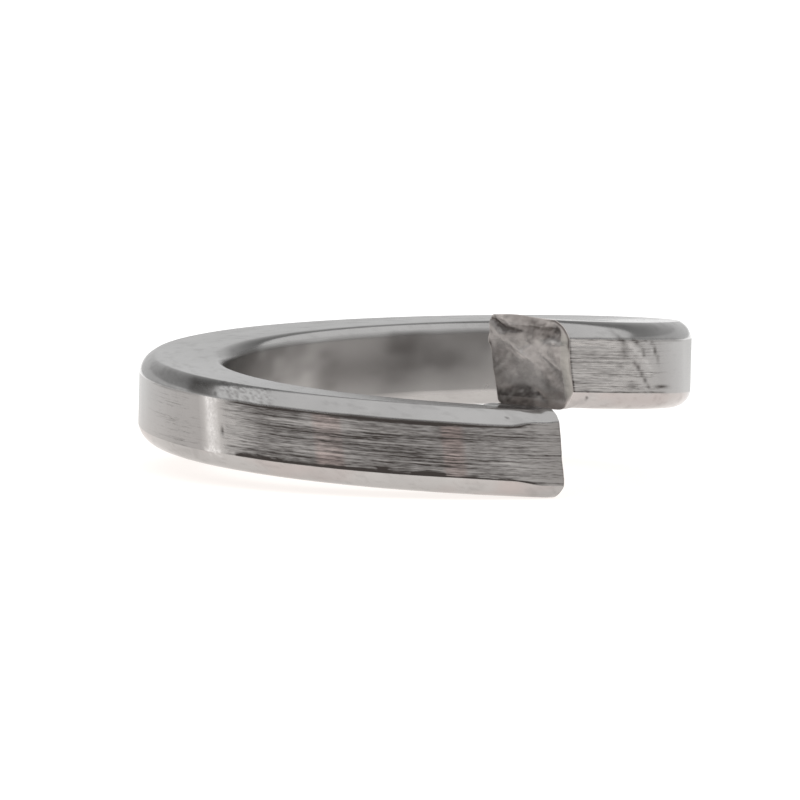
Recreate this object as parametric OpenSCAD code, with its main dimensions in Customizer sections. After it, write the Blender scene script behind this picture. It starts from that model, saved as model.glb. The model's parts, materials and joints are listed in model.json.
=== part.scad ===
// Spring lock washer. One turn of near-square wire is coiled on edge, cut through and sprung apart.
// Millimetres. +Z is the axis of the bolt. The origin lies on that axis, level with the lowest edge.

/* [Ring] */
// Diameter of the bore, which slips over the bolt
bore_d = 20.2; // [12:0.1:30]
// Radial width of the wire
wire_w = 4.5; // [3.2:0.1:7]
// Height of the wire
wire_h = 4.6; // [3:0.1:7]

/* [Spring] */
// Climb of the coil over one full turn
climb = 4.7; // [1:0.1:9]
// How much of the climb moves from the lower half of the turn to the upper half
climb_shift = 0.11; // [0:0.01:0.3]

/* [Wire corners] */
// Radius of the upper outer corner
upper_outer_corner_r = 1.18; // [0.3:0.02:1.3]
// How far that corner turns, in degrees, before it meets the flat top in a crisp crest
crest = 66; // [50:1:90]
// Radius of the upper inner corner, pinched by the coiling
upper_inner_corner_r = 0.74; // [0.2:0.02:1.3]
// Radius of the lower inner corner
lower_inner_corner_r = 1.06; // [0.2:0.02:1.3]
// Radius of the lower outer corner
lower_outer_corner_r = 1.06; // [0.3:0.02:1.3]
// How far each corner round starts outside its turned wall, which leaves a crisp line along the wall
wall_break = 0.02; // [0.015:0.005:0.05]

/* [Wire ends] */
// Run of the lower tip, where the outer corners were not drawn full, in degrees of the turn
tip_run = 11.6; // [4:0.2:20]
// Radius of the upper outer corner at the tip
tip_upper_corner_r = 0.86; // [0.3:0.02:1.3]
// Radius of the lower outer corner at the tip
tip_lower_corner_r = 0.86; // [0.3:0.02:1.3]
// Length over which the shear squashed the inner corners at the upper end
squashed_run = 2.5; // [1:0.1:5]
// Radius of those squashed corners
squashed_corner_r = 0.4; // [0.2:0.02:1.3]

/* [Cut] */
// Where the cut crosses the outer wall at half height, in degrees from -Y towards +X
cut_at = 32.8; // [0:0.1:359]
// Width of the cut, measured round the outer wall
cut_gap = 0.42; // [0.3:0.02:1.5]
// Slant of the cut in plan, away from the radius
cut_slant = 21; // [0:1:35]
// Lean of the cut away from the bolt's axis
cut_lean = 8; // [0:0.5:15]
// Depth of the torn relief on the two end faces
tear_depth = 0.12; // [0:0.01:0.14]
// How far the sheared edge of each end face rolls back: the outer edge above, the inner edge below
edge_roll = 0.06; // [0:0.01:0.25]
// Width of that rolled edge
edge_roll_w = 0.5; // [0.2:0.05:1]
// How far the shear dragged the opposite rim out of the wire: the top at the lower end, the foot at the upper
burr = 0.12; // [0:0.01:0.2]

/* [Hidden] */

bore_r = bore_d / 2;
outer_r = bore_r + wire_w;
sweep = 360 - cut_gap / outer_r * 180 / PI;
lower_end_at = cut_at - (360 - sweep) / 2;
body_steps = 84;
end_steps = 7;
end_share = 0.03;
corner_steps = 5;
cap_rings = 8;
wall_sides = 180;
free_height = wire_h + climb * sweep / 360;
wire_mid = [bore_r + wire_w / 2, 0];
wall_overrun = 1;
// Share of the tip's run over which its corners grow into the full ones.
tip_fade = 0.55;
calm_w = 0.8;
rim_relief = 0.25;
burr_run = 0.8;
burr_side = 1.2;

// Rises smoothly from 0 to 1 as x does.
function eased(x) = let (s = min(1, max(0, x))) s * s * (3 - 2 * s);

// One corner round of the wire's section, as [radius, height] pairs about the wire's mid height.
function corner(centre, r, start, turn = 90) =
    [for (k = [0:corner_steps])
        let (a = start + turn * k / corner_steps) centre + r * [cos(a), sin(a)]];

// Length of wire, round the outer wall, for a share u of the sweep.
function run(u) = u * sweep * PI / 180 * outer_r;

// Lift of the rim at height y, where u is the share of the sweep.
function burr_lift(y, u) =
    burr * (eased(1 - run(u) / burr_run) * eased((y - wire_h / 2 + burr_side) / burr_side)
            - eased(1 - run(1 - u) / burr_run) * eased((-y - wire_h / 2 + burr_side) / burr_side));

// The whole section for a share u of the sweep, anticlockwise from the top of the outer wall. Its walls
// stand wall_break proud.
function wire_section(u) =
    let (out = outer_r + wall_break, in = bore_r - wall_break, top = wire_h / 2,
         tip = eased((1 - u * sweep / tip_run) / tip_fade),
         squash = eased(1 - run(1 - u) / squashed_run),
         ruo = upper_outer_corner_r + (tip_upper_corner_r - upper_outer_corner_r) * tip,
         rui = upper_inner_corner_r + (squashed_corner_r - upper_inner_corner_r) * squash,
         rli = lower_inner_corner_r + (squashed_corner_r - lower_inner_corner_r) * squash,
         rlo = lower_outer_corner_r + (tip_lower_corner_r - lower_outer_corner_r) * tip)
    [for (p = concat(corner([out - ruo, top - ruo * sin(crest)], ruo, 0, crest),
                     corner([in + rui, top - rui], rui, 90),
                     corner([in + rli, rli - top], rli, 180),
                     corner([out - rlo, rlo - top], rlo, 270)))
        p + [0, burr_lift(p.y, u)]];

// Shares of the sweep at which the section stands between the ends, closer at both tips.
function stations() =
    concat([for (k = [1:end_steps - 1]) end_share * k / end_steps],
           [for (k = [0:body_steps]) end_share + (1 - 2 * end_share) * k / body_steps],
           [for (k = [1:end_steps - 1]) 1 - end_share + end_share * k / end_steps]);

// Height of the wire's mid line above the lower end's, for a share u of the sweep.
function climbed(u) = climb * sweep / 360 * (u - climb_shift * u * (1 - u));

// Degrees by which the slanted, leaning cut runs ahead of its own outer edge at mid height.
function cut_shear(r, z) = ((outer_r - r) * tan(cut_slant) + z * tan(cut_lean)) / r * 180 / PI;

// Torn relief of an end face: broad ridges with a few finer ones across them, from -1 to 1. It calms
// down to rim_relief of that over the last calm_w before the rim.
function torn(x, y) =
    (rim_relief + (1 - rim_relief) * min(1, max(0, wire_w / 2 - max(abs(x), abs(y))) / calm_w))
    * (0.55 * sin(95 * x - 60 * y + 40) * cos(50 * y + 25 * x)
       + 0.30 * sin(170 * x + 150 * y + 110)
       + 0.15 * cos(310 * y - 230 * x));

// Share of the full roll, from 0 at the flat of an end face to 1 at its rolled edge. x is measured from
// the middle of the section towards that edge.
function rolled(x) = pow(max(0, x - wire_w / 2 + edge_roll_w) / edge_roll_w, 2);

// A point of the wire: p is [radius, height] in the section, u the share of the sweep, tear the relief.
function on_coil(p, u, tear = 0) =
    let (a = lower_end_at - u * sweep - cut_shear(p.x, p.y) - tear / p.x * 180 / PI)
    [p.x * sin(a), -p.x * cos(a), wire_h / 2 + climbed(u) + p.y];

// Shift of a point of an end face along the coil, from its torn relief and its rolled edge. side is 1
// at the upper end and -1 at the lower end. x and y are measured from the middle of the section.
function face_shift(x, y, side) = tear_depth * torn(x, y) - side * edge_roll * rolled(side * x);

// One end face as rings that shrink towards the middle of the section, the outline first.
function end_rings(u, side) =
    let (s = wire_section(u))
    [for (k = [0:cap_rings - 1], p = s)
        let (q = wire_mid + (p - wire_mid) * (1 - k / cap_rings))
        on_coil(q, u, face_shift(q.x - wire_mid.x, q.y, side))];

// Two triangles for each side of a band between two rings of n points.
function band_faces(low, high, n) =
    [for (k = [0:n - 1], t = [[low + k, high + k, high + (k + 1) % n],
                              [low + k, high + (k + 1) % n, low + (k + 1) % n]]) t];

// The coiled wire with torn ends, its walls still proud of the turned ones.
module coiled_wire() {
    n = len(wire_section(0));
    cap = cap_rings * n;
    body = [for (u = stations(), p = wire_section(u)) on_coil(p, u)];
    rings = concat(end_rings(0, -1), body, end_rings(1, 1));
    top_cap = cap + len(body);
    hubs = [on_coil(wire_mid, 0, face_shift(0, 0, -1)), on_coil(wire_mid, 1, face_shift(0, 0, 1))];
    // Ring starts from the middle of the lower end, along the coil, to the middle of the upper end.
    starts = concat([for (k = [cap_rings - 1:-1:0]) k * n],
                    [for (j = [0:len(stations()) - 1]) cap + j * n],
                    [for (k = [0:cap_rings - 1]) top_cap + k * n]);
    hub = len(rings);
    first = starts[0];
    last = starts[len(starts) - 1];
    polyhedron(
        points = concat(rings, hubs),
        faces = concat(
            [for (i = [0:len(starts) - 2], f = band_faces(starts[i], starts[i + 1], n)) f],
            [for (k = [0:n - 1]) [hub, first + k, first + (k + 1) % n]],
            [for (k = [0:n - 1]) [hub + 1, last + (k + 1) % n, last + k]]));
}

// The space between the true bore and the true outside.
module wall_ring() {
    translate([0, 0, -wall_overrun])
        difference() {
            cylinder(r = outer_r, h = free_height + 2 * wall_overrun, $fn = wall_sides);
            translate([0, 0, -wall_overrun])
                cylinder(r = bore_r, h = free_height + 4 * wall_overrun, $fn = wall_sides);
        }
}

// The washer: the coiled wire, with its inner and outer walls brought to true cylinders.
module washer() {
    color("silver")
        intersection() {
            coiled_wire();
            wall_ring();
        }
}

washer();
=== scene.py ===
"""Looks of a spring lock washer: one turn of near-square stainless wire, sheared through and sprung apart.

Lengths are millimetres and angles degrees until a mesh is made. The frame's +Z is the axis of the bolt.
A turn angle runs along the coil from the lower end, and an azimuth runs from -Y towards +X.
"""
import json
import logging
import math
from collections.abc import Callable
from dataclasses import dataclass
from enum import Enum
from functools import partial
from typing import Any

import bpy
import numpy as np
from bpy.types import Material, Node, NodeSocket, NodeTree, Object
from mathutils import Matrix, Vector


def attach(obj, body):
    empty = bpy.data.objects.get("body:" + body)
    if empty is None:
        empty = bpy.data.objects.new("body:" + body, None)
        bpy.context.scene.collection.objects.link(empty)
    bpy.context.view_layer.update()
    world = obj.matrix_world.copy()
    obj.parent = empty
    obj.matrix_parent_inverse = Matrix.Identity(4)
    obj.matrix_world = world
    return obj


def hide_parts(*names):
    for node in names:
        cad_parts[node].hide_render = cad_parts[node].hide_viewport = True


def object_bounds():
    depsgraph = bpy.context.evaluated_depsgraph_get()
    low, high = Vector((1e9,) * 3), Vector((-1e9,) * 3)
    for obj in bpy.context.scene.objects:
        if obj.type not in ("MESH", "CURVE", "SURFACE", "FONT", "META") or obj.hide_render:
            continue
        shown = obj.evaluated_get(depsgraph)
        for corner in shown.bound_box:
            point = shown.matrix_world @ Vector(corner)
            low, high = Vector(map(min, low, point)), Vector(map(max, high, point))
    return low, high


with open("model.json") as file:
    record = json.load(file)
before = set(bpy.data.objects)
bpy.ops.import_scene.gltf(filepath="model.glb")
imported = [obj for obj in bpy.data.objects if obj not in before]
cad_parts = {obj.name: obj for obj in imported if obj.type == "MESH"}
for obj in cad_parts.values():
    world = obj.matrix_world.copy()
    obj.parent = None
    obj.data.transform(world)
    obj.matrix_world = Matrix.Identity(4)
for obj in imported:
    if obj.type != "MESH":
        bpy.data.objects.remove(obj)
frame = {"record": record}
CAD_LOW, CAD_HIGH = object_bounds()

LOG = logging.getLogger("washer")
MM = 0.001
# Space between the pieces of the bake sheet, mm, and the angle from which an edge stays sharp.
BAKE_GAP = 0.4
SHARP_ANGLE = 50
# Marks of the skin: die lines drawn, grime with painted shade, a painted pinkish reflection and warm tint, a
# painted highlight with rubs, and the bore's matt wall.
MARKS = ("drawn", "grime", "blush", "burnish", "matt")
WHITE = (1, 1, 1, 1)
Array = np.ndarray
Rows = tuple[tuple[float, ...], ...]


def linear(hex_colour: str) -> tuple[float, float, float, float]:
    """Turns an sRGB hex colour into linear red, green and blue, with an alpha of 1."""
    parts = [int(hex_colour[i:i + 2], 16) / 255 for i in (1, 3, 5)]
    return (*[c / 12.92 if c <= 0.04045 else ((c + 0.055) / 1.055) ** 2.4 for c in parts], 1.0)


def blank_material(name: str) -> tuple[Material, NodeTree]:
    """Makes a material without nodes.

    Args:
        name: its name.

    Returns:
        The material and its empty node tree.
    """
    material = bpy.data.materials.new(name)
    material.use_nodes = True
    material.node_tree.nodes.clear()
    return material, material.node_tree


def add_node(tree: NodeTree, kind: str, inputs: dict[Any, Any] | None = None,
             **settings: Any) -> Node:
    """Adds one node with its settings and links.

    Args:
        tree: the node tree.
        kind: its type name without "ShaderNode".
        inputs: a value, an output, or a node whose first output it takes, by input name or number.
        settings: the node's own properties.

    Returns:
        The new node.
    """
    node = tree.nodes.new("ShaderNode" + kind)
    for name, value in settings.items():
        setattr(node, name, value)
    for name, value in (inputs or {}).items():
        value = value.outputs[0] if isinstance(value, Node) else value
        if isinstance(value, NodeSocket):
            tree.links.new(value, node.inputs[name])
        else:
            node.inputs[name].default_value = value
    return node


def show(piece: Object) -> None:
    """Links a piece to the scene."""
    bpy.context.scene.collection.objects.link(piece)


def smooth(value: Array, low: float, high: float) -> Array:
    """Rises smoothly from 0 at low to 1 at high, which may be less than low."""
    share = np.clip((value - low) / (high - low), 0, 1)
    return share * share * (3 - 2 * share)


def window(value: Array, low: float, high: float, fade: float) -> Array:
    """Is 1 from low to high, and falls smoothly to 0 over a length of fade on each side."""
    return smooth(value, low - fade, low) * smooth(value, high + fade, high)


def each(kind: type, *rows: tuple[float, ...]) -> tuple[Any, ...]:
    """Makes a thing of one kind from each row of its fields."""
    return tuple(kind(*row) for row in rows)


class End(Enum):
    """The two torn ends of the coil, each with the direction along the coil in which its face looks."""

    LOWER = -1
    UPPER = 1


@dataclass
class Grain:
    """Seeded smooth noise over a surface, drawn on a lattice whose steps are real lengths."""

    seed: int
    reach: float = 130.0
    start: float = 10.0

    def over(self, along: Array, across: Array, step_along: float, step_across: float) -> Array:
        """Reads a fresh layer of the noise, so the order of the calls matters.

        Args:
            along: place along the wire, mm.
            across: place across it, mm.
            step_along: lattice step along the wire, mm.
            step_across: lattice step across it, mm.

        Returns:
            Values from -1 to 1, as large as along and across.
        """
        rows, columns = int(self.reach / step_along) + 4, int(self.reach / 2 / step_across) + 4
        lattice = np.random.default_rng(self.seed).uniform(-1, 1, (rows, columns))
        self.seed += 1
        a, c = (along + self.start) / step_along, (across + self.start) / step_across
        i, j = np.floor(a).astype(int), np.floor(c).astype(int)
        fa, fc = smooth(a - i, 0, 1), smooth(c - j, 0, 1)
        i, j, k, m = i % rows, j % columns, (i + 1) % rows, (j + 1) % columns
        near = lattice[i, j] * (1 - fc) + lattice[i, m] * fc
        far = lattice[k, j] * (1 - fc) + lattice[k, m] * fc
        return near * (1 - fa) + far * fa


@dataclass(frozen=True)
class Dent:
    """A soft bump, stain or patch of painted shade, or a dent, wiped spot or painted highlight where its
    height is negative, at a place on a face.
    """

    x: float
    y: float
    width: float
    length: float
    height: float
    turn: float = 0.0

    def at(self, x: Array, y: Array) -> Array:
        """Reads its height, mm, or its strength at places of the face, mm."""
        turned = (x - self.x + 1j * (y - self.y)) * np.exp(-1j * math.radians(self.turn))
        return self.height * np.exp(-(turned.real / self.width) ** 2 - (turned.imag / self.length) ** 2)


@dataclass(frozen=True)
class Facet:
    """A smooth plane of a torn face: its middle, how far it stands out there, its slopes and its painted
    shade, which stands in for how the plane catches the light.
    """

    x: float
    y: float
    height: float
    slope_x: float
    slope_y: float
    shade: float


@dataclass(frozen=True)
class Coil:
    """The law of the coil, as the CAD part has it."""

    bore_r: float
    outer_r: float
    free_height: float
    wire_h: float = 4.6
    climb_shift: float = 0.11
    cut_at: float = 32.8
    cut_gap: float = 0.42
    cut_slant: float = 21.0
    cut_lean: float = 8.0

    @property
    def wire_w(self) -> float:
        """Radial width of the wire, mm."""
        return self.outer_r - self.bore_r

    @property
    def mid_r(self) -> float:
        """Radius of the wire's mid line, mm."""
        return (self.outer_r + self.bore_r) / 2

    @property
    def sweep(self) -> float:
        """Turn of the coil from end to end, in degrees."""
        return 360 - math.degrees(self.cut_gap / self.outer_r)

    @property
    def lower_end_at(self) -> float:
        """Azimuth of the lower end on the outer wall."""
        return self.cut_at - (360 - self.sweep) / 2

    @property
    def length(self) -> float:
        """Length of the wire round its outer wall, mm."""
        return math.radians(self.sweep) * self.outer_r

    def place(self, r: Array, y: Array, u: Array, shift: Array) -> Array:
        """Puts points of the wire into the frame.

        Args:
            r: radius, mm.
            y: height above the wire's mid line, mm.
            u: share of the sweep from the lower end.
            shift: shift along the coil, mm.

        Returns:
            Their x, y and z, mm, on a last axis of three.
        """
        shear = ((self.outer_r - r) * math.tan(math.radians(self.cut_slant))
                 + y * math.tan(math.radians(self.cut_lean))) / r
        angle = np.radians(self.lower_end_at - u * self.sweep) - shear - shift / r
        rise = (self.free_height - self.wire_h) * (u - self.climb_shift * u * (1 - u))
        return np.stack([r * np.sin(angle), -r * np.cos(angle), self.wire_h / 2 + rise + y], -1)


@dataclass(frozen=True)
class TornEnd:
    """One sheared and torn end face: its relief, its marks, and the burrs round its rim."""

    end: End
    seed: int
    facets: tuple[Facet, ...]
    dents: tuple[Dent, ...]
    stains_and_painted_light: tuple[Dent, ...]
    burrs: tuple[Dent, ...]
    # Raggedness of the folds between the planes, drop and width of the rolled edge, and run of the burrs.
    crisp: float = 0.14
    roll: float = 0.16
    roll_w: float = 0.5
    burr_run: float = 0.55
    # The CAD part's own relief, how it calms down before the rim, and how much of it stays here.
    tear_depth: float = 0.12
    calm_w: float = 0.8
    rim_relief: float = 0.25
    broad_share: float = 0.5
    plane_share: float = 0.75

    def askew(self, x: Array, y: Array) -> tuple[Array, Array]:
        """Places turned out of line with the wire, where the noise's lattice lies, mm."""
        return 8 + 0.80 * x + 0.60 * y, 8 - 0.60 * x + 0.80 * y

    def rolled(self, x: Array, half_w: float) -> Array:
        """Share of the way over the rolled edge, from 0 at the face's flat, at a distance x outwards, mm."""
        return np.clip((self.end.value * x - half_w + self.roll_w) / self.roll_w, 0, 1.2)

    def rim(self, x: Array, y: Array) -> Array:
        """How far the rim stands out of the section as a burr, mm, at a point of the section."""
        return sum(burr.at(x, y) for burr in self.burrs)

    def planes(self, x: Array, y: Array) -> tuple[Array, Array]:
        """Reads the torn planes, which meet in narrow, ragged folds.

        Args:
            x: place outwards from the section's middle, mm.
            y: place upwards, mm.

        Returns:
            How far the face stands out, mm, and its shade from 0 to 1.
        """
        layer = partial(Grain(self.seed + 40).over, *self.askew(x, y))
        wx = x + 0.18 * layer(0.70, 0.60) + 0.06 * layer(0.22, 0.18)
        wy = y + 0.18 * layer(0.60, 0.70) + 0.06 * layer(0.18, 0.22)
        reach = np.stack([(wx - f.x) ** 2 + (wy - f.y) ** 2 for f in self.facets])
        share = np.exp(-(reach - reach.min(0)) / self.crisp)
        share = share / share.sum(0)
        high = np.stack([f.height + f.slope_x * (x - f.x) + f.slope_y * (y - f.y) for f in self.facets])
        shade = np.array([f.shade for f in self.facets]).reshape(-1, *[1] * x.ndim)
        return (share * high).sum(0), (share * shade).sum(0)

    def relief(self, x: Array, y: Array, half_w: float) -> Array:
        """Shift of the face along the coil.

        Args:
            x: place outwards from the section's middle, mm.
            y: place upwards, mm.
            half_w: half the wire's width, mm.

        Returns:
            The shift, mm. It is positive away from the lower end.
        """
        inside = np.clip((half_w - np.maximum(abs(x), abs(y))) / self.calm_w, 0, 1)
        calm = self.rim_relief + (1 - self.rim_relief) * inside
        broad = self.tear_depth * calm * (
            0.55 * np.sin(np.radians(95 * x - 60 * y + 40)) * np.cos(np.radians(50 * y + 25 * x))
            + 0.30 * np.sin(np.radians(170 * x + 150 * y + 110))
            + 0.15 * np.cos(np.radians(310 * y - 230 * x)))
        layer = partial(Grain(self.seed).over, *self.askew(x, y))
        own = self.plane_share * calm * self.planes(x, y)[0] + 0.012 * layer(0.55, 0.42)
        own = own + 0.005 * layer(0.21, 0.17)
        own = own + sum(dent.at(x, y) for dent in self.dents) - self.roll * self.rolled(x, half_w) ** 2
        return self.broad_share * broad + self.end.value * own

    def marks(self, x: Array, y: Array, half_w: float, from_rim: Array) -> Array:
        """Reads how bright and how dark the face is.

        Args:
            x: place outwards from the section's middle, mm.
            y: place upwards, mm.
            half_w: half the wire's width, mm.
            from_rim: share of the way from the rim to the middle.

        Returns:
            The marks of the skin, by place and kind: the rubbed edge as drawn, the painted shade in the grime
                mark.
        """
        layer = partial(Grain(self.seed + 60).over, *self.askew(x, y))
        ragged, notch = layer(0.16, 0.12), layer(0.40, 0.20)
        # The shear rubbed the rolled edge bright, behind a thin dark fringe.
        to_edge, outward = self.rolled(x, half_w) + 0.08 * notch, self.end.value * x
        edge = smooth(to_edge, 0.02, 0.12) * smooth(y, 1.80, 1.50) * smooth(-y, 1.95, 1.6)
        fringe = 0.30 * np.exp(-(to_edge / 0.10) ** 2) * (abs(y) < 1.9)
        # Painted shadow: the very rim is dark again, where the end face meets the wire.
        start = 0.6 * smooth(outward, half_w - 0.10, half_w - 0.02) * (0.5 + 0.8 * notch) + (
            0.8 * smooth(from_rim, 0.07, 0.02) * smooth(outward, 0.9, 1.5) * smooth(y, 0.6, 1.1))
        # Painted shade: each plane's shade stands in for how it catches the light. The stains darken the
        # crevice and patches, and negative ones are painted highlights, on the ridge and as a glint.
        shade = self.planes(x, y)[1] + (0.85 + 0.4 * ragged) * sum(stain.at(x, y) for stain in self.stains_and_painted_light)
        shade = (shade + fringe) * (1 - 0.9 * edge) + start + 0.08 * ragged
        return np.stack([edge, np.clip(shade, 0, 1), *[0 * x] * (len(MARKS) - 2)], -1)


# The planes' shades are painted shade, and the negative stains are painted highlights.
UPPER_END = TornEnd(
    End.UPPER, 70,
    facets=each(
        Facet, (-1.85, 0.15, 0.054, -0.03, -0.01, 0.44), (-1.15, -0.8, 0.04, -0.03, -0.01, 0.24),
        (0.15, -0.8, 0.027, 0.04, -0.01, 0.04), (0.35, 0.3, 0.05, 0.02, 0.05, 0.0),
        (-0.2, 2.1, -0.02, 0.04, -0.1, 0.54), (-0.75, 1.2, 0.03, -0.04, 0.14, 0.2),
        (1.3, 0.5, 0.07, 0.06, 0.02, 0.18), (1.25, -1.0, 0.071, 0.04, -0.01, 0.38),
        (-1.05, -1.95, 0.0, 0.02, -0.08, 0.62), (0.9, -1.9, 0.02, -0.08, -0.04, 0.2),
        (1.3, 1.7, -0.02, -0.04, 0.06, 0.34), (-2.15, 1.2, 0.1, 0.1, 0.06, 0.04)),
    dents=each(
        Dent, (0.0, -0.1, 4.0, 1.8, 0.12), (-1.62, 1.76, 0.42, 0.26, -0.22, -30),
        (-2.05, 2.05, 0.3, 0.16, -0.14, -30), (-0.95, 1.6, 0.38, 0.08, -0.1, -6),
        (-0.62, 0.48, 0.75, 0.12, 0.05, -32), (-0.75, 0.3, 0.3, 0.05, -0.03, -30),
        (1.15, 0.1, 0.5, 0.1, 0.03, -40), (0.24, -1.68, 0.55, 0.13, -0.08, -44),
        (1.3, 1.62, 0.34, 0.4, -0.08), (1.36, 1.12, 0.16, 0.05, 0.05, -15),
        (1.85, -1.95, 0.3, 0.14, 0.05, 20), (2.05, -2.1, 0.3, 0.3, -0.12)),
    stains_and_painted_light=each(
        Dent, (-1.62, 1.78, 0.46, 0.28, 1.0, -28), (-2.08, 2.08, 0.34, 0.2, 0.85, -35),
        (-0.85, 1.6, 0.44, 0.12, 0.8, -6), (-2.4, 0.8, 0.2, 0.18, 1.3), (0.24, -1.72, 0.52, 0.15, 0.62, -44),
        (0.45, 1.78, 0.34, 0.11, 0.2, 35), (1.28, 1.62, 0.36, 0.46, 0.24, -20), (-2.2, 1.42, 0.12, 0.1, 0.5),
        (1.72, 1.7, 0.1, 0.36, 0.5, 28), (0.6, 2.02, 0.6, 0.18, 0.36, -10),
        (0.92, 1.62, 0.28, 0.36, 0.26, -25), (-0.68, 0.46, 0.7, 0.2, -0.35, -32),
        (1.36, 1.12, 0.18, 0.07, -0.6, -15), (1.8, -2.1, 0.35, 0.2, -0.3), (-1.2, -2.25, 1.1, 0.3, 0.35)),
    burrs=each(
        Dent, (-0.7, 2.3, 1.25, 0.5, 0.13), (1.95, -1.95, 0.45, 0.45, -0.14), (-2.3, 0.98, 0.5, 0.3, 0.15)),
    crisp=0.22, roll=0.06)


# Its planes' shades are painted shade too.
LOWER_END = TornEnd(
    End.LOWER, 90,
    facets=each(
        Facet, (-1.4, 1.1, 0.03, 0.08, -0.12, 0.15), (0.1, 1.3, -0.02, -0.1, 0.1, 0.38),
        (1.45, 0.8, 0.02, 0.06, 0.12, 0.22), (-1.2, -0.3, 0.0, -0.08, 0.05, 0.42),
        (0.35, -0.2, 0.04, 0.05, -0.1, 0.1), (1.5, -0.9, -0.03, -0.12, -0.06, 0.5),
        (-0.7, -1.7, -0.02, 0.1, 0.14, 0.3), (0.7, -1.8, -0.05, 0.04, 0.16, 0.66)),
    dents=each(
        Dent, (0.6, 0.55, 0.7, 0.1, -0.1, 25), (-0.5, -1.0, 0.6, 0.1, 0.08, -35),
        (1.3, -1.2, 0.4, 0.3, -0.08), (-1.5, 0.5, 0.12, 0.5, -0.08, 20), (2.1, 0.0, 0.8, 6.0, -0.02),
        (2.1, 2.05, 0.6, 0.45, -0.04), (2.05, -2.15, 0.7, 0.5, -0.1)),
    stains_and_painted_light=each(
        Dent, (0.6, 0.55, 0.65, 0.12, 0.55, 25), (-1.5, 0.5, 0.14, 0.45, 0.45, 20),
        (1.3, -1.2, 0.4, 0.3, 0.35)),
    burrs=each(
        Dent, (-0.6, 2.3, 1.2, 0.3, 0.03), (1.9, -1.95, 0.5, 0.5, -0.06)))


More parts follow.
